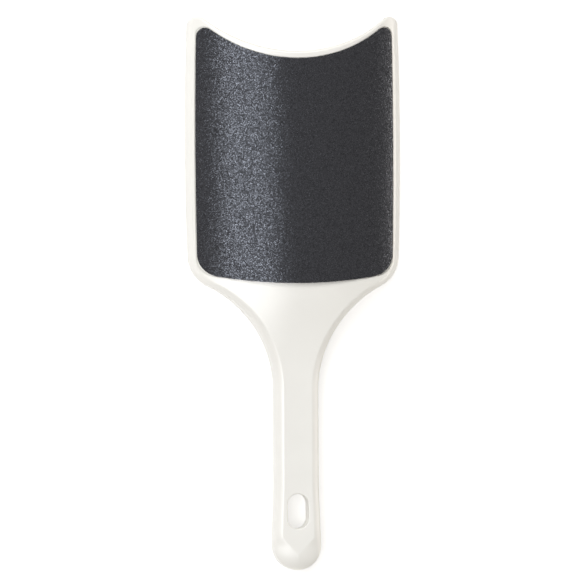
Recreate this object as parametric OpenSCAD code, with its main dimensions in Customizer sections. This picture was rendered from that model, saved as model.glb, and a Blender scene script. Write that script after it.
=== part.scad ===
// Foot file with an arched head. The head lies on its two long rims with the
// abrasive face up, the handle runs along -Y, and +Z points out of the face.
// The origin is under the middle of the whole length, at the level of the rims.

/* [Overall] */
// Length from the tips of the horns to the end of the handle
overall_len = 210; // [200:1:220]

/* [Head] */
// Width across the head where it is widest
head_w = 82.4; // [76:0.2:86]
// How far each long side of the head bows out
side_bow = 0.8; // [0.4:0.1:1.2]
// Radius of the arch over the outer face
arch_r = 62; // [56:1:76]
// Radius of the hollow top edge, seen from above
top_arc_r = 54; // [52:1:64]
// Radius of the two horns at the ends of the top edge
horn_r = 3.6; // [3:0.1:4.2]
// Radius of the shoulders between the head and the neck
shoulder_r = 13; // [11:0.5:14]
// Depth of the rim round the head, from the outer face down
rim_depth = 4.2; // [3.8:0.1:5.5]
// Width of the rounded edge along the sides of the head
head_bevel = 2.0; // [1.4:0.1:2.2]
// Fall of the rounded edge along the sides of the head
head_bevel_drop = 1.6; // [1:0.1:2]
// Width of the rounded edge along the hollow top edge
top_bevel = 1.0; // [0.8:0.1:1.6]
// Fall of the rounded edge along the hollow top edge
top_bevel_drop = 0.9; // [0.6:0.1:1.4]

/* [Neck] */
// Angle through which each side of the neck flares out
neck_flare = 62; // [56:1:64]
// Length of the straight stretch between the neck's curve and the shoulder
shoulder_flat = 2.5; // [1:0.5:4]

/* [Handle] */
// Length of the handle from its end to where the neck starts to flare
handle_len = 68.5; // [62:0.5:74]
// Width of the handle where it meets the neck
handle_neck_w = 16.5; // [15:0.1:18]
// Width of the handle across its round end
handle_end_w = 17.9; // [16.6:0.1:19]
// Length over which the handle widens towards that end
end_swell = 26; // [20:1:40]
// Depth of the handle from its flat front down to its lower edge
handle_depth = 10.6; // [8:0.2:11.6]
// How far the flat front of the handle lies below the crown of the head
handle_fall = 6; // [3:0.5:8]
// Width of the rounded edge along the handle
handle_bevel = 3.0; // [2.4:0.1:3.2]
// Fall of the rounded edge along the handle
handle_bevel_drop = 2.6; // [2:0.1:3]
// Distance from the end of the handle to the point of its flat front
point_from_end = 6.1; // [5.4:0.1:7]
// Angle between the centre line and the two edges that meet in that point
point_angle = 44; // [40:1:48]

/* [Moulding] */
// Thickness of the moulded wall
wall = 2.4; // [2:0.1:2.6]
// Thickness of the cross ribs in the handle
rib_t = 1.4; // [1:0.1:2]
// How far the ribs stop short of the lower edge of the handle
rib_recess = 1.6; // [0.8:0.2:2.4]
// Spacing of the cross ribs
rib_pitch = 9; // [8:0.5:11]

/* [Hanging hole] */
// Width of the oval hanging hole
hole_w = 8; // [6.6:0.2:8.4]
// Length of the oval hanging hole
hole_len = 13.3; // [11:0.1:15]
// Distance from the end of the handle to the middle of the hole
hole_from_end = 22.3; // [20:0.1:26]
// Thickness of the moulded sleeve round the hole
hole_sleeve = 1.8; // [1.4:0.1:2.2]

/* [Abrasive sheet] */
// Width of the bare rim beside the sheet's recess
side_rim = 3.1; // [2.6:0.1:4]
// How far each long side of the recess bows out
recess_bow = 0.4; // [0.2:0.1:0.8]
// Width of the bare rim above the recess, along the hollow top edge
top_rim = 2.6; // [2.2:0.1:3.6]
// How much tighter than the body's the top edge of the recess curves
top_tighten = 4; // [0:0.5:6]
// Length of the recess on its centre line
recess_len = 85.6; // [80:0.2:90]
// Depth of the recess below the outer face
recess_depth = 0.5; // [0.3:0.05:0.7]
// Radius of the bowed bottom edge of the recess
foot_arc_r = 175; // [140:1:240]
// Radius of the two lower corners of the recess
recess_corner_r = 7; // [6:0.5:8]
// Radius of the two upper corners of the recess and of the sheet
recess_tip_r = 3.0; // [2:0.1:3.4]
// How much rounder the sheet's lower corners are than those of the recess
corner_ease = 1.5; // [0.5:0.1:3]
// Clearance between the edge of the sheet and the recess
sheet_gap = 0.3; // [0.2:0.05:0.5]
// Thickness of the adhesive film under the sheet
film_t = 0.15; // [0.1:0.01:0.25]
// Thickness of the cloth backing
backing_t = 0.4; // [0.3:0.05:0.6]
// Thickness of the coat of grit
grit_t = 0.35; // [0.25:0.05:0.6]
// How far the film stays back from the edge of the backing
film_inset = 0.6; // [0.3:0.1:1.5]

/* [Hidden] */

// Clearance between layers that lie on each other
layer_gap = 0.01;
// How far a cut runs past the face that it opens
overrun = 1;
// How far a rib or sleeve is rooted in the wall that carries it
root = 0.6;
// Draft of the inner walls
draft = 0.2;
// Steps in the arcs of the outline
end_steps = 5;
handle_steps = 8;
neck_steps = 11;
shoulder_steps = 6;
side_steps = 8;
horn_steps = 4;
tip_steps = 3;
top_steps = 8;
// Steps in the arcs of the sheet's outline
corner_steps = 8;
edge_steps = 14;
// Steps round a full circle
fine = 128;
// Where along the end arc and the horn the side rails begin and end
end_split = 45;
horn_split = 90;
// Shares of the bevel's width and fall at its rounded middle
bevel_mid_share = 0.3;
bevel_fall_share = 0.36;

y_end = -overall_len / 2;
neck_y = y_end + handle_len;
end_r = handle_end_w / 2;
end_cy = y_end + end_r;
neck_half = handle_neck_w / 2;

// The point of the flat front, and the place where its slanted edges begin
point_y = y_end + point_from_end;
panel_corner_y = point_y + (end_r - handle_bevel) / tan(point_angle);

// Half width of the head at the shoulders and at the horns
head_half = head_w / 2;
rail_half = head_half - side_bow;

// The shoulder's start, and the neck arc that reaches it
shoulder_x = rail_half - shoulder_r * (1 - cos(neck_flare));
neck_r = (shoulder_x - shoulder_flat * sin(neck_flare) - neck_half) / (1 - cos(neck_flare));
shoulder_y = neck_y + (neck_r + shoulder_r) * sin(neck_flare) + shoulder_flat * cos(neck_flare);

// The horns and the hollow top edge
horn_x = rail_half - horn_r;
horn_y = overall_len / 2 - horn_r;
top_cy = horn_y + sqrt(pow(top_arc_r + horn_r, 2) - pow(horn_x, 2));
top_angle = atan2(top_cy - horn_y, -horn_x);
crown_end_y = top_cy - top_arc_r;

// Heights of the crown and of the handle's flat front
function arch_fall(x) = arch_r - sqrt(pow(arch_r, 2) - pow(x, 2));
crown_z = arch_fall(rail_half) + rim_depth;
front_z = crown_z - handle_fall;
arch_cz = crown_z - arch_r;

function clamp01(t) = max(0, min(1, t));
function ease(t) = let (c = clamp01(t)) c * c * (3 - 2 * c);
function mix(a, b, t) = a + (b - a) * t;
// How far a place has passed from handle to head
function headness(y) = ease((y - neck_y) / (shoulder_y - neck_y));

// Height of the outer face above the rims
function skin_z(x, y) =
    mix(front_z, crown_z, headness(y)) - headness(y) * arch_fall(x);
// Height of the lower edge, which sinks from the handle to the head's rims
// and follows the arch along the hollow top edge
function base_z(x, y) =
    y < shoulder_y
        ? mix(front_z - handle_depth, 0, headness(y))
        : max(0, skin_z(x, y) - rim_depth);

// An arc from one angle to another, as places with their inward direction
function arc(c, r, a0, a1, steps, inward = -1) =
    [for (i = [0:steps]) let (a = mix(a0, a1, i / steps))
        [c[0] + r * cos(a), c[1] + r * sin(a), inward * cos(a), inward * sin(a)]];
function without_first(list) = [for (i = [1:len(list) - 1]) list[i]];

// A long side between two heights, bowed out from the width at its ends
function bowed(x, y0, y1, bow) =
    [for (i = [1:side_steps - 1]) let (t = i / side_steps, s = 2 * t - 1)
        [x + bow * (1 - s * s), mix(y0, y1, t), -1, 0]];
// The handle's side, from its swollen end up to the neck
function handle_side(y) =
    [mix(end_r, neck_half, ease((y - end_cy) / end_swell)), y, -1, 0];

// The right-hand side rail, from the handle's end up to the horn
rail = concat(
    arc([0, end_cy], end_r, -end_split, 0, end_steps),
    [for (i = [0:handle_steps]) handle_side(mix(panel_corner_y, neck_y, i / (handle_steps + 1)))],
    arc([neck_half + neck_r, neck_y], neck_r, 180, 180 - neck_flare, neck_steps, 1),
    arc([rail_half - shoulder_r, shoulder_y], shoulder_r, -neck_flare, 0, shoulder_steps),
    bowed(rail_half, shoulder_y, horn_y, side_bow),
    arc([horn_x, horn_y], horn_r, 0, horn_split, horn_steps));

// The top edge from the right horn to the centre line, then to the left one
top_half = concat(
    arc([horn_x, horn_y], horn_r, horn_split, top_angle, tip_steps),
    without_first(arc([0, top_cy], top_arc_r, top_angle - 180, -90, top_steps, 1)));
half_cols = len(top_half) - 1;
cols = 2 * half_cols;
rows = len(rail) - 1;

function mirrored(p) = [-p[0], p[1], -p[2], p[3]];
function across(half, i) = i < half_cols ? mirrored(half[i]) : half[cols - i];
function top_at(i) = across(top_half, i);

// The end of the handle, stepped across like the top edge
end_half = [for (i = [0:half_cols])
    let (x = end_r * cos(end_split) * top_half[i][0] / top_half[0][0], a = -acos(x / end_r))
        [x, end_cy + end_r * sin(a), -cos(a), -sin(a)]];
function end_at(i) = across(end_half, i);

// How far in from a place on the outline the slanted edges of the point lie
function point_inset(p) =
    (abs(p[0]) - tan(point_angle) * (p[1] - point_y)) / (abs(p[2]) + tan(point_angle) * p[3]);
// Width and fall of the rounded edge at a place on the outline
function bevel_at(p) =
    p[1] < neck_y
        ? max(handle_bevel, point_inset(p))
        : mix(mix(handle_bevel, head_bevel, headness(p[1])), top_bevel, top_share(p));
function top_share(p) =
    p[1] < crown_end_y - overrun ? 0 :
    abs(p[0]) > horn_x ? ease((p[1] - horn_y) / horn_r) : 1;
function fall_at(p) =
    mix(mix(handle_bevel_drop, head_bevel_drop, headness(p[1])), top_bevel_drop, top_share(p));

// Kinds of inset from the outline: none, part or all of the bevel, the inner wall
EDGE = 0;
MID = 1;
FACE = 2;
WALL = 3;
HOLLOW = 4;
function inset_of(p, kind) =
    kind == EDGE ? 0 :
    kind == MID ? bevel_at(p) * bevel_mid_share :
    kind == FACE ? bevel_at(p) :
    kind == WALL ? wall : wall + draft;
function inset(p, kind) = [p[0] + p[2] * inset_of(p, kind), p[1] + p[3] * inset_of(p, kind)];

// A place in the net of rows and columns that the outline carries
function net_xy(j, i, kind) =
    let (
        side = inset(rail[j], kind),
        horn = inset(rail[rows], kind),
        foot = inset(rail[0], kind),
        top_i = inset(top_at(i), kind),
        end_i = inset(end_at(i), kind),
        rise = clamp01((side[1] - shoulder_y) / (horn[1] - shoulder_y)),
        sink = clamp01((neck_y - side[1]) / (neck_y - foot[1])),
        sink_sharp = pow(sink, 3),
        x_share = mix(end_i[0] / foot[0], top_i[0] / horn[0], j / rows)
    )
        [side[0] * x_share,
         side[1] + rise * (top_i[1] - horn[1]) + sink_sharp * (end_i[1] - foot[1])];

// The outline's own places in ring order: end, right side, top, left side
ring_cells = concat(
    [for (i = [0:cols]) [0, i]],
    [for (j = [1:rows]) [j, cols]],
    [for (i = [cols - 1:-1:0]) [rows, i]],
    [for (j = [rows - 1:-1:1]) [j, 0]]);
ring_len = len(ring_cells);
function edge_place(c) =
    c[0] == 0 ? end_at(c[1]) :
    c[0] == rows ? top_at(c[1]) :
    c[1] == 0 ? mirrored(rail[c[0]]) : rail[c[0]];

function ring_z(c, xy, kind) =
    let (p = edge_place(c))
        kind == EDGE ? skin_z(p[0], p[1]) - fall_at(p) :
        kind == MID ? skin_z(xy[0], xy[1]) - fall_at(p) * bevel_fall_share :
        base_z(p[0], p[1]);
function ring(kind, low = false) =
    [for (c = ring_cells)
        let (xy = net_xy(c[0], c[1], kind), p = edge_place(c))
            [xy[0], xy[1], low ? base_z(p[0], p[1]) : ring_z(c, xy, kind)]];
function net(kind, drop) =
    [for (j = [0:rows]) for (i = [0:cols])
        let (xy = net_xy(j, i, kind)) [xy[0], xy[1], skin_z(xy[0], xy[1]) - drop]];

// The shell's places: lower face, outer wall, rounded edge, outer and inner skins
shell_places = concat(
    ring(WALL, true),
    ring(EDGE, true),
    ring(EDGE),
    ring(MID),
    net(FACE, 0),
    net(HOLLOW, wall));
net_len = (rows + 1) * (cols + 1);
face_start = 4 * ring_len;
hollow_start = face_start + net_len;
function cell_index(start, c) = start + c[0] * (cols + 1) + c[1];
function ring_index(r, k) = r * ring_len + k % ring_len;
function edge_index(start, k) = cell_index(start, ring_cells[k % ring_len]);

// Two triangles between the step k of a lower and a higher ring
function band(a0, a1, b1, b0) = [[a0, b1, a1], [a0, b0, b1]];
function quads(start, up) =
    [for (j = [0:rows - 1]) for (i = [0:cols - 1])
        let (
            a = cell_index(start, [j, i]),
            b = cell_index(start, [j, i + 1]),
            c = cell_index(start, [j + 1, i + 1]),
            d = cell_index(start, [j + 1, i]),
            left = i < half_cols
        )
            for (f = left ? [[a, c, b], [a, d, c]] : [[a, d, b], [b, d, c]])
                up ? f : [f[0], f[2], f[1]]];
shell_faces = concat(
    [for (k = [0:ring_len - 1]) for (r = [0:2])
        for (f = band(ring_index(r, k), ring_index(r, k + 1),
                      ring_index(r + 1, k + 1), ring_index(r + 1, k))) f],
    [for (k = [0:ring_len - 1])
        for (f = band(ring_index(3, k), ring_index(3, k + 1),
                      edge_index(face_start, k + 1), edge_index(face_start, k))) f],
    [for (k = [0:ring_len - 1])
        for (f = band(edge_index(hollow_start, k), edge_index(hollow_start, k + 1),
                      ring_index(0, k + 1), ring_index(0, k))) f],
    quads(face_start, true),
    quads(hollow_start, false));

// The plan of the sheet or its recess: bowed foot, bowed sides, hollow top
recess_half = head_half - side_rim - recess_bow;
recess_top_r = top_arc_r + top_rim - top_tighten;
recess_top_cy = crown_end_y - top_rim + recess_top_r;
recess_foot_y = crown_end_y - top_rim - recess_len;
function plan_half(half, foot_y, foot_r, corner_r, tip_r, hollow_r) =
    let (
        foot_cy = foot_y + foot_r,
        corner_x = half - corner_r,
        corner_y = foot_cy - sqrt(pow(foot_r - corner_r, 2) - pow(corner_x, 2)),
        corner_a = asin(corner_x / (foot_r - corner_r)) - 90,
        tip_x = half - tip_r,
        tip_y = recess_top_cy - sqrt(pow(hollow_r + tip_r, 2) - pow(tip_x, 2)),
        tip_a = atan2(recess_top_cy - tip_y, -tip_x)
    )
        concat(
            arc([0, foot_cy], foot_r, -90, corner_a, edge_steps),
            without_first(arc([corner_x, corner_y], corner_r, corner_a, 0, corner_steps)),
            bowed(half, corner_y, tip_y, recess_bow),
            arc([tip_x, tip_y], tip_r, 0, tip_a, corner_steps),
            without_first(arc([0, recess_top_cy], hollow_r, tip_a - 180, -90, edge_steps)));
module plan(back, corner_r) {
    half = plan_half(recess_half - back, recess_foot_y + back, foot_arc_r - back,
                     corner_r, recess_tip_r, recess_top_r + back);
    last = len(half) - 1;
    polygon(concat(
        [for (p = half) [p[0], p[1]]],
        [for (i = [last - 1:-1:1]) [-half[i][0], half[i][1]]]));
}

// A solid bar along the arch, from its axis out to the given radius
module arch_bar(r) {
    translate([0, 0, arch_cz]) rotate([90, 0, 0])
        cylinder(h = 2 * overall_len, r = r, center = true, $fn = fine);
}
// One layer of the sheet, between two radii of the arch
module layer(inner, thick, back) {
    intersection() {
        difference() {
            arch_bar(inner + thick);
            arch_bar(inner);
        }
        linear_extrude(height = crown_z + overrun) plan(back, recess_corner_r + corner_ease);
    }
}

film_r = arch_r - recess_depth + layer_gap;
backing_r = film_r + film_t + layer_gap;
grit_r = backing_r + backing_t + layer_gap;

// The oval of the hanging hole, grown by a wall
hole_y = y_end + hole_from_end;
hole_reach = (hole_len - hole_w) / 2;
module hole_bar(grow, z0, z1) {
    translate([0, hole_y, z0]) linear_extrude(height = z1 - z0) {
        for (s = [-1, 1])
            translate([0, s * hole_reach]) circle(r = hole_w / 2 + grow, $fn = fine);
        square([hole_w + 2 * grow, 2 * hole_reach], center = true);
    }
}

// Cross ribs in the channel of the handle, from the sleeve up to the neck
handle_base_z = front_z - handle_depth;
rib_from = hole_y + hole_len / 2 + hole_sleeve + rib_pitch / 2;
rib_count = floor((neck_y - rib_from) / rib_pitch) + 1;
channel_half = neck_half - wall;
module ribs() {
    for (i = [0:rib_count - 1])
        translate([-channel_half - root, rib_from + i * rib_pitch - rib_t / 2,
                   handle_base_z + rib_recess])
            cube([2 * (channel_half + root), rib_t, handle_depth - rib_recess - wall + root]);
}

module moulded_body() {
    color("ivory") difference() {
        union() {
            polyhedron(points = shell_places, faces = shell_faces);
            hole_bar(hole_sleeve, handle_base_z + rib_recess / 2, front_z - wall + root);
            ribs();
        }
        hole_bar(0, handle_base_z - overrun, front_z + overrun);
        difference() {
            linear_extrude(height = crown_z + overrun) plan(0, recess_corner_r);
            arch_bar(arch_r - recess_depth);
        }
    }
}
module adhesive_film() {
    color("gold") layer(film_r, film_t, sheet_gap + film_inset);
}
module abrasive_backing() {
    color("saddlebrown") layer(backing_r, backing_t, sheet_gap);
}
module grit_coat() {
    color("dimgray") layer(grit_r, grit_t, sheet_gap);
}

moulded_body();
adhesive_film();
abrasive_backing();
grit_coat();
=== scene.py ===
# %% [markdown]
# A foot file with an arched head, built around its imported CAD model.
# The real thing is one injection moulding in white plastic with a black abrasive
# sheet stuck into a shallow recess on its outer face. Four pieces are dressed here:
# the moulding, the film of adhesive, the cloth backing and the coat of grit.
# The model lies on the two long rims of its head, with the handle along -Y.

# %% Load the frame
import math
import random

import bmesh
import bpy
from mathutils import Matrix, Vector


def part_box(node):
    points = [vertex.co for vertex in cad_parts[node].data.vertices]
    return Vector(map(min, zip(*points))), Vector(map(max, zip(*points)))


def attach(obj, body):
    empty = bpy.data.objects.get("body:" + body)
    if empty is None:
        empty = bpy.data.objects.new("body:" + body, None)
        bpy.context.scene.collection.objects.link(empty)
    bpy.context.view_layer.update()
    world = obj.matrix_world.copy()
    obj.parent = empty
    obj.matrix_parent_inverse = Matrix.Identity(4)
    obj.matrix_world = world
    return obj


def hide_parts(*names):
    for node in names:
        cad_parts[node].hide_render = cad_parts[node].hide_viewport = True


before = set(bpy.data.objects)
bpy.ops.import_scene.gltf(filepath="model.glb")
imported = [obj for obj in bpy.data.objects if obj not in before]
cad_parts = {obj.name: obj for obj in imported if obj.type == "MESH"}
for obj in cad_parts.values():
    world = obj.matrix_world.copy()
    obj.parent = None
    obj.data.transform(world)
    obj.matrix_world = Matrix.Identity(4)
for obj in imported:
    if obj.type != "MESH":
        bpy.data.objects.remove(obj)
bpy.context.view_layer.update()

MM = 0.001
print("frame nodes:", sorted(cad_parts))

# %% [markdown]
# The body's outline is the same set of arcs that the CAD model has, in millimetres. Its
# length and width are read from the frame, so that the piece stays where the CAD says. The
# radii are driving sizes, and the places where the arcs meet follow from them. Drawing more
# steps along each arc is all that is needed to turn the CAD's facets into a smooth edge.

# %% Sizes of the moulding
BODY_LOW, BODY_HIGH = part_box("moulded_body")
LENGTH = (BODY_HIGH[1] - BODY_LOW[1]) / MM
HEAD_HALF = (BODY_HIGH[0] - BODY_LOW[0]) / MM / 2
SIDE_BOW = 0.8
TOP_ARC_R = 54.0
HORN_R = 3.6
SHOULDER_R = 13.0
SHOULDER_FLAT = 2.5
NECK_FLARE = 62.0
HANDLE_LEN = 68.5
HANDLE_NECK_HALF = 8.25
HANDLE_END_R = 8.95
HANDLE_BEVEL = 3.0
POINT_FROM_END = 6.1
POINT_ANGLE = 44.0

Y_END = -LENGTH / 2
NECK_Y = Y_END + HANDLE_LEN
END_CY = Y_END + HANDLE_END_R
POINT_Y = Y_END + POINT_FROM_END
PANEL_CORNER_Y = POINT_Y + (HANDLE_END_R - HANDLE_BEVEL) / math.tan(math.radians(POINT_ANGLE))
RAIL_HALF = HEAD_HALF - SIDE_BOW
FLARE = math.radians(NECK_FLARE)
SHOULDER_X = RAIL_HALF - SHOULDER_R * (1 - math.cos(FLARE))
NECK_R = (SHOULDER_X - SHOULDER_FLAT * math.sin(FLARE) - HANDLE_NECK_HALF) / (1 - math.cos(FLARE))
SHOULDER_Y = NECK_Y + (NECK_R + SHOULDER_R) * math.sin(FLARE) + SHOULDER_FLAT * math.cos(FLARE)
HORN_X = RAIL_HALF - HORN_R
HORN_Y = LENGTH / 2 - HORN_R
TOP_CY = HORN_Y + math.sqrt((TOP_ARC_R + HORN_R) ** 2 - HORN_X ** 2)
TOP_ANGLE = math.degrees(math.atan2(TOP_CY - HORN_Y, -HORN_X))
CROWN_END_Y = TOP_CY - TOP_ARC_R
print("shoulders at %.1f mm, horns at %.1f mm" % (SHOULDER_Y, HORN_Y))

# %% [markdown]
# Heights come from two rules. Over the head the skin is an arch of one radius, and the
# handle's front is flat and a little lower. An easing curve carries one into the other
# along the neck, and it carries the height of the lower edge over in the same way.

# %% Heights as rules
ARCH_R = 62.0
RIM_DEPTH = 4.2
HANDLE_FALL, HANDLE_DEPTH = 6.0, 10.6


def arch_fall(x):
    """How far the arch has fallen at a distance from the centre line."""
    return ARCH_R - math.sqrt(ARCH_R ** 2 - x ** 2)


CROWN_Z = arch_fall(RAIL_HALF) + RIM_DEPTH
FRONT_Z = CROWN_Z - HANDLE_FALL
ARCH_CZ = CROWN_Z - ARCH_R


def mix(a, b, t):
    return a + (b - a) * t


def clamp(t):
    return max(0.0, min(1.0, t))


def ease(t):
    t = clamp(t)
    return t * t * (3 - 2 * t)


def headness(y):
    """0 on the handle, 1 on the head, and between them on the neck."""
    return ease((y - NECK_Y) / (SHOULDER_Y - NECK_Y))


def skin_z(x, y):
    """The height of the front."""
    return mix(FRONT_Z, CROWN_Z, headness(y)) - headness(y) * arch_fall(x)


def base_z(x, y):
    """The height of the lower edge: level along the head's sides, arched below the hollow top."""
    if y < SHOULDER_Y:
        return mix(FRONT_Z - HANDLE_DEPTH, 0.0, headness(y))
    return max(0.0, skin_z(x, y) - RIM_DEPTH)


print("crown at %.2f mm, front of the handle at %.2f mm" % (CROWN_Z, FRONT_Z))

# %% [markdown]
# The edge between the front and the side wall is rounded, broad along the handle and narrow
# along the hollow top. Near the round end the flat front comes to a point, so there the
# rounded edge grows until it meets the two slanted edges of that point.

# %% Rounded edges as rules
HANDLE_BEVEL_DROP = 2.6
HEAD_BEVEL, HEAD_BEVEL_DROP = 2.0, 1.6
TOP_BEVEL, TOP_BEVEL_DROP = 1.0, 0.9


def top_share(p):
    """How much of the hollow top edge a place on the outline has: it grows round the horns."""
    if p[1] < SHOULDER_Y:
        return 0.0
    return ease((p[1] - HORN_Y) / HORN_R) if abs(p[0]) > HORN_X else 1.0


def point_inset(p):
    """How far in from a place on the outline the slanted edges of the flat front's point lie."""
    slope = math.tan(math.radians(POINT_ANGLE))
    return (abs(p[0]) - slope * (p[1] - POINT_Y)) / (abs(p[2]) + slope * p[3])


def bevel_at(p):
    """The width of the rounded edge at a place on the outline."""
    if p[1] < NECK_Y:
        return max(HANDLE_BEVEL, point_inset(p))
    return mix(mix(HANDLE_BEVEL, HEAD_BEVEL, headness(p[1])), TOP_BEVEL, top_share(p))


def fall_at(p):
    """How far the rounded edge falls at a place on the outline."""
    along = mix(HANDLE_BEVEL_DROP, HEAD_BEVEL_DROP, headness(p[1]))
    return mix(along, TOP_BEVEL_DROP, top_share(p))


end_place = (0.0, Y_END, 0.0, 1.0)
print("rounded edge at the handle's very end: %.1f mm wide" % bevel_at(end_place))


# %% [markdown]
# An outline is walked as arcs and bowed lines that run into each other. Every place on it
# is four numbers: where it is, and the direction that points inwards there. So a wall's
# thickness or the width of a rounded edge is a step along that direction.

# %% Ways to walk
def arc(cx, cy, r, a0, a1, steps, inward=-1):
    """Places on an arc. inward is -1 if its centre lies inside the outline, and 1 if outside."""
    places = []
    for i in range(steps + 1):
        a = math.radians(mix(a0, a1, i / steps))
        c, s = math.cos(a), math.sin(a)
        places.append((cx + r * c, cy + r * s, inward * c, inward * s))
    return places


def bowed(x, y0, y1, bow, steps):
    """A long side between two heights, bowed out from the width at its ends."""
    shares = [i / steps for i in range(1, steps)]
    return [(x + bow * (1 - (2 * t - 1) ** 2), mix(y0, y1, t), -1.0, 0.0) for t in shares]


def resampled(places, count):
    """The same walk with its places spread evenly along it."""
    reach = [0.0]
    for p, q in zip(places, places[1:]):
        reach.append(reach[-1] + math.dist(p[:2], q[:2]))
    spread, k = [], 0
    for i in range(count + 1):
        s = reach[-1] * i / count
        while k < len(places) - 2 and reach[k + 1] < s:
            k += 1
        t = (s - reach[k]) / max(reach[k + 1] - reach[k], 1e-9)
        spread.append(tuple(mix(a, b, t) for a, b in zip(places[k], places[k + 1])))
    return spread


print("a quarter circle in 4 steps has", len(arc(0, 0, 1, 0, 90, 4)), "places")


# %% [markdown]
# The body is the same on both sides, so only its right half is walked: the handle's end, its
# side, the hollow of the neck, the shoulder, the bowed side and the horn. Then come half of
# the hollow top, and the foot, which is the last part of the handle's round end. Each stretch
# gets as many steps as it needs to look round when seen close up.

# %% The body's outline
END_SPLIT = 45
END_SWELL = 26.0
END_STEPS, PANEL_STEPS, HANDLE_STEPS = 14, 3, 28
NECK_STEPS, SHOULDER_STEPS, SIDE_STEPS = 34, 16, 46
HORN_STEPS, HORN_TOP_STEPS, TOP_STEPS = 10, 5, 28


def handle_side():
    """The handle's side, which swells a little towards the round end."""
    ys = [mix(END_CY, PANEL_CORNER_Y, i / PANEL_STEPS) for i in range(1, PANEL_STEPS)]
    ys += [mix(PANEL_CORNER_Y, NECK_Y, i / HANDLE_STEPS) for i in range(HANDLE_STEPS)]
    swells = [ease((y - END_CY) / END_SWELL) for y in ys]
    return [(mix(HANDLE_END_R, HANDLE_NECK_HALF, t), y, -1.0, 0.0) for y, t in zip(ys, swells)]


body_rail = (arc(0, END_CY, HANDLE_END_R, -END_SPLIT, 0, END_STEPS)
             + handle_side()
             + arc(HANDLE_NECK_HALF + NECK_R, NECK_Y, NECK_R, 180, 180 - NECK_FLARE,
                   NECK_STEPS, inward=1)
             + arc(RAIL_HALF - SHOULDER_R, SHOULDER_Y, SHOULDER_R, -NECK_FLARE, 0, SHOULDER_STEPS)
             + bowed(RAIL_HALF, SHOULDER_Y, HORN_Y, SIDE_BOW, SIDE_STEPS)
             + arc(HORN_X, HORN_Y, HORN_R, 0, 90, HORN_STEPS))
body_top = (arc(HORN_X, HORN_Y, HORN_R, 90, TOP_ANGLE, HORN_TOP_STEPS)
            + arc(0, TOP_CY, TOP_ARC_R, TOP_ANGLE - 180, -90, TOP_STEPS, inward=1)[1:])


def handle_foot():
    """The last part of the round end, with one place for every place of the top."""
    half_width = HANDLE_END_R * math.cos(math.radians(END_SPLIT))
    xs = [half_width * place[0] / body_top[0][0] for place in body_top]
    drops = [math.sqrt(HANDLE_END_R ** 2 - x ** 2) for x in xs]
    return [(x, END_CY - drop, -x / HANDLE_END_R, drop / HANDLE_END_R)
            for x, drop in zip(xs, drops)]


body_foot = handle_foot()
print("outline:", len(body_rail), "places up the side,", len(body_top), "over half the top")


# %% [markdown]
# A net of rows and columns has to end exactly on that outline. The rows are straight along
# the handle and bend as they near the hollow top edge or the round end. This is what a
# modeller does with proportional editing, written as one rule. The bend fades evenly below
# the top, and by its third power above the foot, where the net has less room.

# %% The net between the outlines
SINK_POWER = 3


class Net:
    """Rows and columns inside an outline, given as a side rail and half of its top and foot."""

    def __init__(self, rail, top, foot, flat_from, flat_to):
        self.rail, self.top, self.foot = rail, top, foot
        self.rows, self.half = len(rail) - 1, len(top) - 1
        self.cols = 2 * self.half
        self.flat_from, self.flat_to = flat_from, flat_to

    def across(self, half, i):
        """A place on the top or the foot by its column, from the left edge to the right one."""
        if i >= self.half:
            return half[self.cols - i]
        x, y, nx, ny = half[i]
        return (-x, y, -nx, ny)

    def edge(self, j, i):
        """The outline's own place at a cell on the border of the net."""
        if j == 0:
            return self.across(self.foot, i)
        if j == self.rows:
            return self.across(self.top, i)
        x, y, nx, ny = self.rail[j]
        return (-x, y, -nx, ny) if i == 0 else (x, y, nx, ny)

    def inside(self, j, i, inset):
        """A cell's place when the outline is drawn in by inset(place)."""
        side, horn, foot, top_i, foot_i = [
            (p[0] + p[2] * inset(p), p[1] + p[3] * inset(p)) for p in (
                self.rail[j], self.rail[self.rows], self.rail[0],
                self.across(self.top, i), self.across(self.foot, i))]
        rise = clamp((side[1] - self.flat_from) / (horn[1] - self.flat_from))
        sink = clamp((self.flat_to - side[1]) / (self.flat_to - foot[1])) ** SINK_POWER
        share = mix(foot_i[0] / foot[0], top_i[0] / horn[0], j / self.rows)
        return (side[0] * share,
                side[1] + rise * (top_i[1] - horn[1]) + sink * (foot_i[1] - foot[1]))


body_net = Net(body_rail, body_top, body_foot, SHOULDER_Y, NECK_Y)
print("body net:", body_net.rows, "rows by", body_net.cols, "columns")

# %% [markdown]
# The moulding is a thin-walled shell. One way is to model the outside and let a Solidify
# modifier give it a wall, but the lower edge has to stay flat to rest on a table. So a
# flat grid becomes the face, and its border is extruded ring after ring: over the rounded
# edge, down the side wall, across the lower edge and up inside. Each ring is written here
# as two rules, how far it lies inside the outline and how high. A small round corner has
# three rings, and its middle one lies 0.3 of the radius from both walls, as on a circle.

# %% Rings of the shell
WALL, DRAFT = 2.4, 0.2
EDGE_STEPS = 6
EDGE_SHARPNESS = 1.4
LIP_R = 0.45
HOLLOW_R = 0.5


def edge_ring(share):
    """A ring of the rounded edge: how much of its width is left, and how far it has fallen."""
    a = share * math.pi / 2
    width = 1 - math.sin(a) ** (2 / EDGE_SHARPNESS)
    fall = 1 - max(0.0, math.cos(a)) ** (2 / EDGE_SHARPNESS)
    return (lambda p: bevel_at(p) * width, lambda p, x, y: skin_z(x, y) - fall_at(p) * fall)


def lip_ring(inset, rise):
    """A ring of the lower edge."""
    return (lambda p: inset, lambda p, x, y: base_z(p[0], p[1]) + rise)


def hollow_ring(inset, fall):
    """A ring where the wall meets the ceiling of the hollow."""
    return (lambda p: inset, lambda p, x, y: skin_z(x, y) - WALL - fall)


def hollow_inset(p):
    """Where the ceiling of the hollow begins."""
    return WALL + DRAFT + HOLLOW_R


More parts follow.
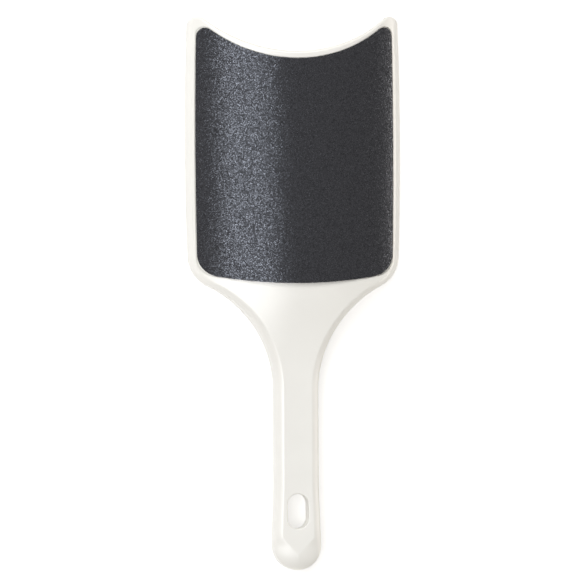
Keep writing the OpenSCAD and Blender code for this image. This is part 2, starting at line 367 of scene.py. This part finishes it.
ROUND_SHARE = 0.3
shell_rings = [edge_ring(k / EDGE_STEPS) for k in range(EDGE_STEPS + 1)]
shell_rings += [lip_ring(0, LIP_R), lip_ring(LIP_R * ROUND_SHARE, LIP_R * ROUND_SHARE),
                lip_ring(LIP_R, 0), lip_ring(WALL - LIP_R, 0),
                lip_ring(WALL - LIP_R * ROUND_SHARE, LIP_R * ROUND_SHARE), lip_ring(WALL, LIP_R)]
shell_rings += [hollow_ring(WALL + DRAFT, HOLLOW_R),
                hollow_ring(WALL + DRAFT + HOLLOW_R * ROUND_SHARE, HOLLOW_R * ROUND_SHARE),
                hollow_ring(WALL + DRAFT + HOLLOW_R, 0)]
HOLLOW_NET = len(shell_rings)
print("shell rings:", len(shell_rings))


# %% [markdown]
# Extruding first and placing afterwards keeps the two jobs apart. Every vertex remembers its
# row, column and ring in integer layers while the mesh is still flat, a copy of the grid
# closes the hollow, and then one loop looks up where each vertex belongs.

# %% Extrude and place the shell
WELD_MM = 0.002


def flat_net(net):
    """A flat grid whose vertices remember their row and column."""
    bm = bmesh.new()
    row, col = bm.verts.layers.int.new("row"), bm.verts.layers.int.new("col")
    bm.verts.layers.int.new("ring")
    bmesh.ops.create_grid(bm, x_segments=net.cols, y_segments=net.rows, size=1.0)
    for v in bm.verts:
        v[col] = round((v.co.x + 1) / 2 * net.cols)
        v[row] = round((v.co.y + 1) / 2 * net.rows)
    return bm


def shell_mesh():
    bm = flat_net(body_net)
    row, col, ring = (bm.verts.layers.int[n] for n in ("row", "col", "ring"))
    face = bm.faces[:]
    border = [e for e in bm.edges if e.is_boundary]
    for k in range(1, len(shell_rings)):
        grown = bmesh.ops.extrude_edge_only(bm, edges=border)["geom"]
        new = {v for v in grown if isinstance(v, bmesh.types.BMVert)}
        for v in new:
            v[ring] = k
        border = [e for e in grown
                  if isinstance(e, bmesh.types.BMEdge) and all(v in new for v in e.verts)]
    copy = bmesh.ops.duplicate(bm, geom=face)["geom"]
    for v in copy:
        if isinstance(v, bmesh.types.BMVert):
            v[ring] = HOLLOW_NET
    for v in bm.verts:
        if v[ring] in (0, HOLLOW_NET):
            inset = bevel_at if v[ring] == 0 else hollow_inset
            x, y = body_net.inside(v[row], v[col], inset)
            z = skin_z(x, y) - (0 if v[ring] == 0 else WALL)
        else:
            p = body_net.edge(v[row], v[col])
            inset, height = shell_rings[v[ring]]
            x, y = p[0] + p[2] * inset(p), p[1] + p[3] * inset(p)
            z = height(p, x, y)
        v.co = Vector((x, y, z)) * MM
    bmesh.ops.remove_doubles(bm, verts=bm.verts, dist=WELD_MM * MM)
    bmesh.ops.recalc_face_normals(bm, faces=bm.faces)
    return bm


def piece(name, bm):
    """A finished bmesh as an object at the origin."""
    mesh = bpy.data.meshes.new(name)
    bm.to_mesh(mesh)
    bm.free()
    obj = bpy.data.objects.new(name, mesh)
    bpy.context.scene.collection.objects.link(obj)
    print("%s: %d faces" % (name, len(mesh.polygons)))
    return obj


body = piece("moulding", shell_mesh())

# %% [markdown]
# Ribs and the sleeve of the hanging hole stand in the channel under the handle, and the
# hole and the sheet's recess are cut out. In a mould these are one steel form, so joining
# and cutting with booleans is the plain way. The exact solver is slower than the fast one,
# but it copes with tools whose faces almost lie on the body's.

# %% Join and cut
def boolean(target, tool_bm, operation):
    """Applies one boolean to the target and drops the tool."""
    tool = piece("tool", tool_bm)
    mod = target.modifiers.new("cut", "BOOLEAN")
    mod.object, mod.operation, mod.solver = tool, operation, "EXACT"
    graph = bpy.context.evaluated_depsgraph_get()
    result = bpy.data.meshes.new_from_object(target.evaluated_get(graph))
    target.modifiers.clear()
    old = target.data
    target.data = result
    bpy.data.meshes.remove(old)
    bpy.data.objects.remove(tool)
    print("%s after %s: %d faces" % (target.name, operation.lower(), len(result.polygons)))


# %% [markdown]
# The file hangs by a long hole that is round at both ends. Under the front a sleeve stands
# round it, which gives the hole a closed wall through the open channel. Sleeve and hole are
# lofted through the same oval, grown by a little more or less at each height. The hole's
# tool flares at both ends, which leaves a soft lip where the steel halves met.

# %% The hole and its sleeve
HOLE_W, HOLE_LEN = 8.0, 13.3
HOLE_FROM_END = 22.3
HOLE_SLEEVE = 1.8
HOLE_Y = Y_END + HOLE_FROM_END
HANDLE_BASE_Z = FRONT_Z - HANDLE_DEPTH
RIB_RECESS, ROOT = 1.6, 0.6
SLEEVE_LOW_Z = HANDLE_BASE_Z + RIB_RECESS / 2
SLEEVE_CHAMFER = 0.3
OVERRUN = 1.0
HOLE_LIP = 0.35
HOLE_STEPS, LIP_STEPS = 20, 6
QUARTER_TURN = [math.pi / 2 * k / LIP_STEPS for k in range(LIP_STEPS + 1)]


def oval_loop(bm, grow, z):
    """One ring of vertices round the oval of the hole, grown sideways."""
    reach = (HOLE_LEN - HOLE_W) / 2
    r = HOLE_W / 2 + grow
    places = arc(0, reach, r, 0, 180, HOLE_STEPS) + arc(0, -reach, r, 180, 360, HOLE_STEPS)
    return [bm.verts.new(Vector((p[0], HOLE_Y + p[1], z)) * MM) for p in places]


def lofted(steps):
    """A closed solid through ovals, each given as its growth and its height."""
    bm = bmesh.new()
    edges = []
    for grow, z in steps:
        loop = oval_loop(bm, grow, z)
        edges.append([bm.edges.new(pair) for pair in zip(loop, loop[1:] + loop[:1])])
    for low, high in zip(edges, edges[1:]):
        bmesh.ops.bridge_loops(bm, edges=low + high)
    bmesh.ops.contextual_create(bm, geom=edges[0])
    bmesh.ops.contextual_create(bm, geom=edges[-1])
    bmesh.ops.recalc_face_normals(bm, faces=bm.faces)
    return bm


def hole_tool():
    """The hole as a solid: a quarter turn of lip below, a straight bore, and a lip above."""
    steps = [(HOLE_LIP + OVERRUN, SLEEVE_LOW_Z - OVERRUN)]
    steps += [(HOLE_LIP * (1 - math.sin(a)), SLEEVE_LOW_Z + HOLE_LIP * (1 - math.cos(a)))
              for a in QUARTER_TURN]
    steps += [(HOLE_LIP * (1 - math.cos(a)), FRONT_Z - HOLE_LIP * (1 - math.sin(a)))
              for a in QUARTER_TURN]
    steps += [(HOLE_LIP + OVERRUN, FRONT_Z + OVERRUN)]
    return lofted(steps)


def sleeve_solid():
    return lofted([(HOLE_SLEEVE - SLEEVE_CHAMFER, SLEEVE_LOW_Z),
                   (HOLE_SLEEVE, SLEEVE_LOW_Z + SLEEVE_CHAMFER),
                   (HOLE_SLEEVE + DRAFT, FRONT_Z - WALL + ROOT)])


boolean(body, sleeve_solid(), "UNION")

# %% [markdown]
# Cross ribs stiffen the open channel, as in most moulded handles. Each one is a cube scaled
# to size, which stops short of the channel's edge and has its two long free edges rounded.

# %% The ribs
RIB_T, RIB_PITCH, RIB_ROUND = 1.4, 9.0, 0.4
LEVEL_MM = 0.1


def runs_across(edge):
    return abs(edge.verts[0].co.y - edge.verts[1].co.y) < LEVEL_MM * MM


def rib_solids():
    bm = bmesh.new()
    start = HOLE_Y + HOLE_LEN / 2 + HOLE_SLEEVE + RIB_PITCH / 2
    count = int((NECK_Y - start) / RIB_PITCH) + 1
    height = HANDLE_DEPTH - RIB_RECESS - WALL + ROOT
    for i in range(count):
        made = bmesh.ops.create_cube(bm, size=1.0)["verts"]
        size = Vector((2 * (HANDLE_NECK_HALF - WALL + ROOT), RIB_T, height)) * MM
        bmesh.ops.scale(bm, vec=size, verts=made)
        place = Vector((0, start + i * RIB_PITCH, HANDLE_BASE_Z + RIB_RECESS + height / 2)) * MM
        bmesh.ops.translate(bm, vec=place, verts=made)
        low = {e for v in made for e in v.link_edges
               if all(w.co.z < place.z for w in e.verts) and runs_across(e)}
        bmesh.ops.bevel(bm, geom=list(low), offset=RIB_ROUND * MM, segments=3, profile=0.5,
                        affect="EDGES", material=-1)
    return bm


boolean(body, rib_solids(), "UNION")
boolean(body, hole_tool(), "DIFFERENCE")

# %% [markdown]
# The sheet's outline is walked like the body's: a bowed foot, round lower corners, bowed
# sides, small round tips and a hollow top that curves a little tighter than the body's. The
# tool for the recess is a slab in that outline whose underside follows the arch, so the
# floor that it leaves is a true arch too, and the sheet can lie flat on it.

# %% The sheet's outline
SIDE_RIM, TOP_RIM = 3.1, 2.6
RECESS_LEN = 85.6
RECESS_BOW = 0.4
TOP_TIGHTEN = 4.0
FOOT_ARC_R = 175.0
TIP_R = 3.0
RECESS_HALF = HEAD_HALF - SIDE_RIM - RECESS_BOW
RECESS_TOP_R = TOP_ARC_R + TOP_RIM - TOP_TIGHTEN
RECESS_TOP_CY = CROWN_END_Y - TOP_RIM + RECESS_TOP_R
RECESS_FOOT_Y = CROWN_END_Y - TOP_RIM - RECESS_LEN
TIP_SPLIT = 60
FOOT_REACH = RECESS_LEN / 3
CORNER_STEPS, BOW_STEPS, TIP_STEPS, LONG_STEPS = 16, 30, 10, 60


def sheet_net(back, corner_r, rows, cols):
    """The net of the recess, or of a sheet drawn back from it."""
    half, foot_y = RECESS_HALF - back, RECESS_FOOT_Y + back
    foot_r, hollow_r = FOOT_ARC_R - back, RECESS_TOP_R + back
    corner_x = half - corner_r
    corner_y = foot_y + foot_r - math.sqrt((foot_r - corner_r) ** 2 - corner_x ** 2)
    corner_angle = math.degrees(math.asin(corner_x / (foot_r - corner_r))) - 90
    tip_x = half - TIP_R
    tip_y = RECESS_TOP_CY - math.sqrt((hollow_r + TIP_R) ** 2 - tip_x ** 2)
    tip_angle = math.degrees(math.atan2(RECESS_TOP_CY - tip_y, -tip_x))
    rail = (arc(corner_x, corner_y, corner_r, corner_angle / 2, 0, CORNER_STEPS)
            + bowed(half, corner_y, tip_y, RECESS_BOW, BOW_STEPS)
            + arc(tip_x, tip_y, TIP_R, 0, TIP_SPLIT, TIP_STEPS))
    top = (arc(tip_x, tip_y, TIP_R, TIP_SPLIT, tip_angle, TIP_STEPS)
           + arc(0, RECESS_TOP_CY, hollow_r, tip_angle - 180, -90, LONG_STEPS, inward=1)[1:])
    foot = (arc(corner_x, corner_y, corner_r, corner_angle / 2, corner_angle, CORNER_STEPS)
            + arc(0, foot_y + foot_r, foot_r, corner_angle, -90, LONG_STEPS)[1:])
    return Net(resampled(rail, rows), resampled(top, cols // 2), resampled(foot, cols // 2),
               RECESS_FOOT_Y + corner_r, RECESS_FOOT_Y + FOOT_REACH)


def arch_z(x, r):
    """The height of an arch of this radius about the head's own axis."""
    return ARCH_CZ + math.sqrt(r ** 2 - x ** 2)


def no_inset(p):
    return 0.0


def slab(net, low_r, high_r):
    """A closed slab in a net's outline, between two radii of the arch."""
    bm = flat_net(net)
    row, col, ring = (bm.verts.layers.int[n] for n in ("row", "col", "ring"))
    grown = bmesh.ops.extrude_face_region(bm, geom=bm.faces[:] + bm.edges[:] + bm.verts[:])["geom"]
    for v in grown:
        if isinstance(v, bmesh.types.BMVert):
            v[ring] = 1
    for v in bm.verts:
        x, y = net.inside(v[row], v[col], no_inset)
        v.co = Vector((x, y, arch_z(x, high_r if v[ring] else low_r))) * MM
    bmesh.ops.recalc_face_normals(bm, faces=bm.faces)
    return bm


print("recess: %.1f mm wide at its ends, %.1f mm long" % (2 * RECESS_HALF, RECESS_LEN))

# %% [markdown]
# The recess is the last cut. After it the body is shaded smooth, and only edges that turn
# by more than a set angle stay sharp, such as the wall of the recess and the ribs.

# %% Cut the recess
RECESS_DEPTH = 0.5
RECESS_CORNER_R = 7.0
RECESS_ROWS, RECESS_COLS = 60, 44
SHARP_ANGLE = 38
recess_net = sheet_net(0, RECESS_CORNER_R, RECESS_ROWS, RECESS_COLS)
boolean(body, slab(recess_net, ARCH_R - RECESS_DEPTH, ARCH_R + 2 * OVERRUN), "DIFFERENCE")


def smoothed(obj):
    obj.data.shade_smooth()
    obj.data.set_sharp_from_angle(angle=math.radians(SHARP_ANGLE))


smoothed(body)

# %% [markdown]
# The abrasive sheet is cloth with grit bonded to it. Grit could be drawn with bump alone,
# but seen from the side and in the mesh itself it would be a smooth skin. So the top of
# the slab is subdivided down to about the size of a grain and every vertex is pushed in by
# a random amount. Flat shading lets each small facet catch the light by itself, which is
# what makes silicon carbide glitter.

# %% The coat of grit
SHEET_GAP = 0.3
SHEET_CORNER_R = 8.5
LAYER_GAP = 0.01
FILM_T, BACKING_T, GRIT_T = 0.15, 0.4, 0.35
BACKING_R = ARCH_R - RECESS_DEPTH + FILM_T + 2 * LAYER_GAP
GRIT_R = BACKING_R + BACKING_T + LAYER_GAP
GRAIN_CELLS = 9
SHEET_ROWS, SHEET_COLS = 30, 24
GRAIN_DEPTH = 0.02
GRAIN_SHIFT = 0.09
EDGE_FRAY = 0.16
GRAIN_SEED = 11


def grit_mesh():
    rows, cols = SHEET_ROWS * GRAIN_CELLS, SHEET_COLS * GRAIN_CELLS
    net = sheet_net(SHEET_GAP, SHEET_CORNER_R, rows, cols)
    bm = bmesh.new()
    bmesh.ops.create_grid(bm, x_segments=SHEET_COLS, y_segments=SHEET_ROWS, size=1.0)
    grown = bmesh.ops.extrude_face_region(bm, geom=bm.faces[:] + bm.edges[:] + bm.verts[:])["geom"]
    top = [f for f in grown if isinstance(f, bmesh.types.BMFace)]
    raised = [v for v in grown if isinstance(v, bmesh.types.BMVert)]
    bmesh.ops.translate(bm, vec=(0, 0, 1), verts=raised)
    edges = list({e for f in top for e in f.edges})
    bmesh.ops.subdivide_edges(bm, edges=edges, cuts=GRAIN_CELLS - 1, use_grid_fill=True)
    draw = random.Random(GRAIN_SEED)
    for v in sorted(bm.verts, key=lambda v: (round(v.co.z), round(v.co.y, 4), round(v.co.x, 4))):
        j = round((v.co.y + 1) / 2 * rows)
        i = round((v.co.x + 1) / 2 * cols)
        x, y = net.inside(j, i, no_inset)
        r = GRIT_R
        if v.co.z > 0.5:
            r = GRIT_R + GRIT_T - GRAIN_DEPTH * draw.random()
            border = j in (0, rows) or i in (0, cols)
            shift = EDGE_FRAY if border else GRAIN_SHIFT
            towards = -1 if border else draw.choice((-1, 1))
            x += math.copysign(shift * draw.random(), x) * towards
            y += shift * draw.uniform(-0.5, 0.5)
        v.co = Vector((x, y, arch_z(x, r))) * MM
    bmesh.ops.recalc_face_normals(bm, faces=bm.faces)
    return bm


grit = piece("grit", grit_mesh())

# %% [markdown]
# Under the grit lies its cloth. Only its cut edge shows, as a thin dark line round the
# sheet, so a slab with the CAD's thickness is enough, drawn in a trace further than the
# grit so that the grains hang over it as they do where a die has cut through.

# %% The cloth backing
BACKING_BACK = 0.04
BACKING_ROWS, BACKING_COLS = 90, 48
backing_net = sheet_net(SHEET_GAP + BACKING_BACK, SHEET_CORNER_R, BACKING_ROWS, BACKING_COLS)
backing = piece("backing", slab(backing_net, BACKING_R, BACKING_R + BACKING_T))
smoothed(backing)

# %% [markdown]
# Each piece rides on the one body and stands for its CAD node. The film of adhesive has no
# shape of its own that shows, so its CAD node stays and only gets a finish.

# %% Ride and replace
for obj, node, slot in ((body, "moulded_body", "white_plastic"),
                        (grit, "grit_coat", "abrasive_grit"),
                        (backing, "abrasive_backing", "backing_cloth")):
    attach(obj, "root")
    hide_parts(node)
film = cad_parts["adhesive_film"]
print("adhesive film stays the CAD node, with %d faces" % len(film.data.polygons))

# %% [markdown]
# Materials are node trees built by one small helper. Colours are written as the sRGB hex
# values that a colour picker shows, and one function turns them to the linear numbers that
# Blender mixes light in. Pattern scales are worked out from a size in millimetres.

# %% Material helpers
def colour(hex_code):
    parts = [int(hex_code[k:k + 2], 16) / 255 for k in (1, 3, 5)]
    return tuple(c / 12.92 if c <= 0.04045 else ((c + 0.055) / 1.055) ** 2.4 for c in parts) + (1.0,)


def per_mm(size):
    """The texture scale at which a pattern repeats about once in this many millimetres."""
    return 1 / (size * MM)


def start_material(name):
    mat = bpy.data.materials.new(name)
    mat.use_nodes = True
    return mat, mat.node_tree, mat.node_tree.nodes["Principled BSDF"]


def add(tree, kind, inputs=None, **settings):
    """Adds a node, sets its properties, then its inputs by value or by link."""
    node = tree.nodes.new(kind)
    for key, value in settings.items():
        setattr(node, key, value)
    for key, value in (inputs or {}).items():
        if isinstance(value, bpy.types.NodeSocket):
            tree.links.new(value, node.inputs[key])
        else:
            node.inputs[key].default_value = value
    return node


def dress(obj, mat):
    obj.data.materials.clear()
    obj.data.materials.append(mat)
    print("%s: %s" % (obj.name, mat.name))


print("a picker's mid grey, #808080, is %.3f in linear light" % colour("#808080")[0])


# %% [markdown]
# The body is polypropylene, injection moulded in a satin-polished steel mould. That gives
# a warm white with a soft, slightly uneven sheen: the flow of the melt leaves faint broad
# ripples, and the polished steel a grain. The real grain is too fine to show, so it is drawn
# coarser here. The roughness stays above 0.27, because below that the denoiser takes the
# plastic for a mirror and leaves patches on the flat parts.

# %% Moulded polypropylene
RIPPLE_SIZE, POLISH_GRAIN = 26.0, 0.45


def moulded_polypropylene():
    mat, tree, shader = start_material("moulded_polypropylene_satin_white")
    place = add(tree, "ShaderNodeTexCoord").outputs["Object"]
    flow = add(tree, "ShaderNodeTexNoise", {"Vector": place, "Scale": per_mm(RIPPLE_SIZE),
                                            "Detail": 3.0, "Roughness": 0.5})
    grain = add(tree, "ShaderNodeTexNoise", {"Vector": place, "Scale": per_mm(POLISH_GRAIN),
                                             "Detail": 2.0})
    tone = add(tree, "ShaderNodeValToRGB", {"Fac": flow.outputs["Fac"]})
    tone.color_ramp.elements[0].position = 0.3
    tone.color_ramp.elements[0].color = colour("#EFEDE6")
    tone.color_ramp.elements[1].position = 0.7
    tone.color_ramp.elements[1].color = colour("#F4F2EB")
    sheen = add(tree, "ShaderNodeMapRange", {"Value": flow.outputs["Fac"], "From Min": 0.3,
                                             "From Max": 0.7, "To Min": 0.28, "To Max": 0.33})
    ripple = add(tree, "ShaderNodeBump", {"Height": flow.outputs["Fac"], "Strength": 0.12,
                                          "Distance": 0.3 * MM})
    skin = add(tree, "ShaderNodeBump", {"Height": grain.outputs["Fac"], "Strength": 0.1,
                                        "Distance": 0.02 * MM, "Normal": ripple.outputs["Normal"]})
    tree.links.new(tone.outputs["Color"], shader.inputs["Base Color"])
    tree.links.new(sheen.outputs["Result"], shader.inputs["Roughness"])
    tree.links.new(skin.outputs["Normal"], shader.inputs["Normal"])
    shader.inputs["IOR"].default_value = 1.49
    shader.inputs["Specular IOR Level"].default_value = 0.8
    return mat


dress(body, moulded_polypropylene())


# %% [markdown]
# Silicon carbide grit is crushed glass-hard crystal, set in dark resin. Its flat breaks are
# small bluish mirrors that lean every way, so one in a few flashes and the next stays dull.
# A cell pattern gives each grain its own tilt, tone and polish. The cells are 0.25 mm wide,
# about the size of the grains on a coarse foot file.

# %% Silicon carbide grit
GRAIN_SIZE = 0.25


def silicon_carbide_grit():
    mat, tree, shader = start_material("silicon_carbide_grit_coated")
    place = add(tree, "ShaderNodeTexCoord").outputs["Object"]
    cells = add(tree, "ShaderNodeTexVoronoi", {"Vector": place, "Scale": per_mm(GRAIN_SIZE)})
    tilt = add(tree, "ShaderNodeVectorMath", {0: cells.outputs["Color"], 1: (0.5, 0.5, 0.5)},
               operation="SUBTRACT")
    lean = add(tree, "ShaderNodeVectorMath", {0: tilt.outputs["Vector"], "Scale": 0.1},
               operation="SCALE")
    face = add(tree, "ShaderNodeNewGeometry").outputs["Normal"]
    turned = add(tree, "ShaderNodeVectorMath", {0: face, 1: lean.outputs["Vector"]},
                 operation="ADD")
    unit = add(tree, "ShaderNodeVectorMath", {0: turned.outputs["Vector"]}, operation="NORMALIZE")
    split = add(tree, "ShaderNodeSeparateColor", {"Color": cells.outputs["Color"]})
    tone = add(tree, "ShaderNodeValToRGB", {"Fac": split.outputs["Red"]})
    tone.color_ramp.elements[0].color = colour("#28282A")
    tone.color_ramp.elements[1].color = colour("#434346")
    shine = add(tree, "ShaderNodeMapRange", {"Value": split.outputs["Green"], "To Min": 0.1,
                                             "To Max": 0.34})
    clean = add(tree, "ShaderNodeMapRange", {"Value": split.outputs["Blue"], "From Min": 0.64,
                                             "To Min": 0.02, "To Max": 0.36})
    tree.links.new(tone.outputs["Color"], shader.inputs["Base Color"])
    tree.links.new(shine.outputs["Result"], shader.inputs["Roughness"])
    tree.links.new(unit.outputs["Vector"], shader.inputs["Normal"])
    tree.links.new(clean.outputs["Result"], shader.inputs["Specular IOR Level"])
    shader.inputs["Specular Tint"].default_value = colour("#E8EFFD")
    shader.inputs["IOR"].default_value = 2.65
    return mat


dress(grit, silicon_carbide_grit())


# %% [markdown]
# The backing is cotton cloth filled with dark resin, cut with a die. Its edge shows the
# threads end-on as fine ticks of a paler brown, half a millimetre apart. A wave texture of
# scale 1 repeats every 2 pi / 20 units, so that factor goes with its scale.

# %% Resin-filled cloth
THREAD_PITCH = 0.5
WAVE_UNIT = 2 * math.pi / 20


def resin_filled_cloth():
    mat, tree, shader = start_material("resin_filled_cotton_cloth")
    place = add(tree, "ShaderNodeTexCoord").outputs["Object"]
    threads = [add(tree, "ShaderNodeTexWave", {"Vector": place, "Distortion": 1.0,
                                               "Scale": per_mm(THREAD_PITCH) * WAVE_UNIT},
                   bands_direction=direction).outputs["Fac"] for direction in "XY"]
    weave = add(tree, "ShaderNodeMath", {0: threads[0], 1: threads[1]}, operation="MULTIPLY")
    tone = add(tree, "ShaderNodeValToRGB", {"Fac": weave.outputs["Value"]})
    tone.color_ramp.elements[0].color = colour("#1D1B1C")
    tone.color_ramp.elements[1].color = colour("#463C36")
    raised = add(tree, "ShaderNodeBump", {"Height": weave.outputs["Value"], "Strength": 0.5,
                                          "Distance": 0.1 * MM})
    tree.links.new(tone.outputs["Color"], shader.inputs["Base Color"])
    tree.links.new(raised.outputs["Normal"], shader.inputs["Normal"])
    shader.inputs["Roughness"].default_value = 0.85
    return mat


dress(backing, resin_filled_cloth())


# %% [markdown]
# The adhesive is a film of clear amber acrylic, rolled on, so it is glossy and has faint
# clouds a few millimetres wide. It lies hidden under the sheet, but a reader who takes the
# object apart will meet it.

# %% Acrylic adhesive
CLOUD_SIZE = 4.0


def acrylic_adhesive():
    mat, tree, shader = start_material("acrylic_adhesive_film")
    place = add(tree, "ShaderNodeTexCoord").outputs["Object"]
    cloud = add(tree, "ShaderNodeTexNoise", {"Vector": place, "Scale": per_mm(CLOUD_SIZE),
                                             "Detail": 4.0})
    tone = add(tree, "ShaderNodeValToRGB", {"Fac": cloud.outputs["Fac"]})
    tone.color_ramp.elements[0].color = colour("#B9A36B")
    tone.color_ramp.elements[1].color = colour("#D8C998")
    dull = add(tree, "ShaderNodeMapRange", {"Value": cloud.outputs["Fac"], "To Min": 0.2,
                                            "To Max": 0.5})
    tree.links.new(tone.outputs["Color"], shader.inputs["Base Color"])
    tree.links.new(dull.outputs["Result"], shader.inputs["Roughness"])
    shader.inputs["IOR"].default_value = 1.47
    return mat


dress(film, acrylic_adhesive())

# %% [markdown]
# The set is a sheet of white paper. It has to read as pure white and still hold the soft
# shadow beside the object, so the floor is a pale diffuse grey that gains brightness only
# where the camera or a reflection sees it. Being pale grey it also throws less light back
# at the object's sides, which keeps the outline readable against the white. The sizes of
# the set are in metres.

# %% Floor and world
FLOOR_HALF = 3.0
FLOOR_GAIN = 0.61
SKY_STRENGTH = 0.115


def paper_floor():
    mat, tree, shader = start_material("white_paper_floor")
    path = add(tree, "ShaderNodeLightPath")
    seen = path.outputs["Is Camera Ray"]
    for kind in ("Is Glossy Ray", "Is Transmission Ray"):
        seen = add(tree, "ShaderNodeMath", {0: seen, 1: path.outputs[kind]},
                   operation="MAXIMUM").outputs["Value"]
    gain = add(tree, "ShaderNodeMath", {0: seen, 1: FLOOR_GAIN}, operation="MULTIPLY")
    tree.links.new(gain.outputs["Value"], shader.inputs["Emission Strength"])
    shader.inputs["Emission Color"].default_value = colour("#FFFEFC")
    shader.inputs["Base Color"].default_value = colour("#DEDDDB")
    shader.inputs["Roughness"].default_value = 0.9
    shader.inputs["Specular IOR Level"].default_value = 0.1
    return mat


floor_bm = bmesh.new()
bmesh.ops.create_grid(floor_bm, x_segments=1, y_segments=1, size=FLOOR_HALF)
floor = piece("floor", floor_bm)
dress(floor, paper_floor())

world = bpy.data.worlds.new("studio")
bpy.context.scene.world = world
world.use_nodes = True
sky = world.node_tree.nodes["Background"]
sky.inputs["Color"].default_value = colour("#FFFBF6")
sky.inputs["Strength"].default_value = SKY_STRENGTH
print("floor is %.1f m across" % (2 * FLOOR_HALF))

# %% [markdown]
# The main light is one upright softbox on the left. Two marks of it in the photograph say
# where it ends: the bright band on the grit stops left of the middle, and the bright part
# of the neck stops right of it. The neck faces the handle a little, so one straight edge can
# pass through both marks only if the box is turned about its own axis. A wide light over the
# head's end makes the flat handle paler than the sloping neck, and low strips on three sides
# stand for the bounce that keeps the outward bevels nearly as pale as the paper.

# %% Lights
AIM = Vector((0, 0.02, 0.01))


def area_light(name, distance, size, power, tint, tilt=0, swing=0, turn=0):
    """A soft light that leans left by tilt and towards the head by swing, and turns on its axis."""
    data = bpy.data.lights.new(name, "AREA")
    data.shape = "RECTANGLE"
    data.size, data.size_y = size
    data.energy, data.color = power, colour(tint)[:3]
    lamp = bpy.data.objects.new(name, data)
    bpy.context.scene.collection.objects.link(lamp)
    away = Vector((-math.tan(math.radians(tilt)), math.tan(math.radians(swing)), 1)).normalized()
    lamp.location = AIM + away * distance
    across = Vector((0, 1, 0)).cross(away).normalized()
    facing = Matrix((across, away.cross(across), away)).transposed()
    lamp.rotation_euler = (facing @ Matrix.Rotation(math.radians(turn), 3, "Z")).to_euler()
    print("%s: %.1f W at %.1f m" % (name, power, distance))


area_light("key", distance=1.2, size=(0.65, 1.5), power=12.2, tint="#FBFCFF",
           tilt=28, swing=2, turn=32)
area_light("over_the_head", distance=1.4, size=(1.2, 0.5), power=9.5, tint="#FFFFFF", swing=50)
area_light("low_left", distance=1.4, size=(0.3, 1.4), power=1.4, tint="#FFFFFF", tilt=45)
area_light("low_right", distance=1.5, size=(0.1, 1.2), power=6.5, tint="#FFF8F0", tilt=-87)
area_light("low_front", distance=1.5, size=(1.2, 0.1), power=5.0, tint="#FFFAF2", swing=-88)

# %% [markdown]
# The camera looks down from a little to the left. The handle's front is shifted sideways
# against its rim in the photograph, by an amount that a turn of about 7.5 degrees explains.
# One pixel is 0.38 mm at the level of the object.

# %% Camera
IMAGE_PX = 585
PIXEL_MM = 0.3804
VIEW_YAW, VIEW_ROLL = 7.5, 0.3
CAMERA_DISTANCE = 3.0
CENTRE_X_PX, CENTRE_Y_PX = 292.75, 293.1
SENSOR_MM = 36.0

data = bpy.data.cameras.new("camera")
data.sensor_width = SENSOR_MM
data.lens = SENSOR_MM * CAMERA_DISTANCE / (IMAGE_PX * PIXEL_MM * MM)
camera = bpy.data.objects.new("camera", data)
bpy.context.scene.collection.objects.link(camera)
yaw, roll = math.radians(VIEW_YAW), math.radians(VIEW_ROLL)
target = Vector((IMAGE_PX / 2 - CENTRE_X_PX, CENTRE_Y_PX - IMAGE_PX / 2, 0)) * PIXEL_MM * MM
camera.location = target + Vector((-math.sin(yaw), 0, math.cos(yaw))) * CAMERA_DISTANCE
camera.rotation_euler = (Matrix.Rotation(-yaw, 4, "Y") @ Matrix.Rotation(-roll, 4, "Z")).to_euler()
bpy.context.scene.camera = camera
bpy.context.scene.view_settings.view_transform = "Standard"
print("lens %.0f mm" % data.lens)

# %% Update the scene
bpy.context.view_layer.update()
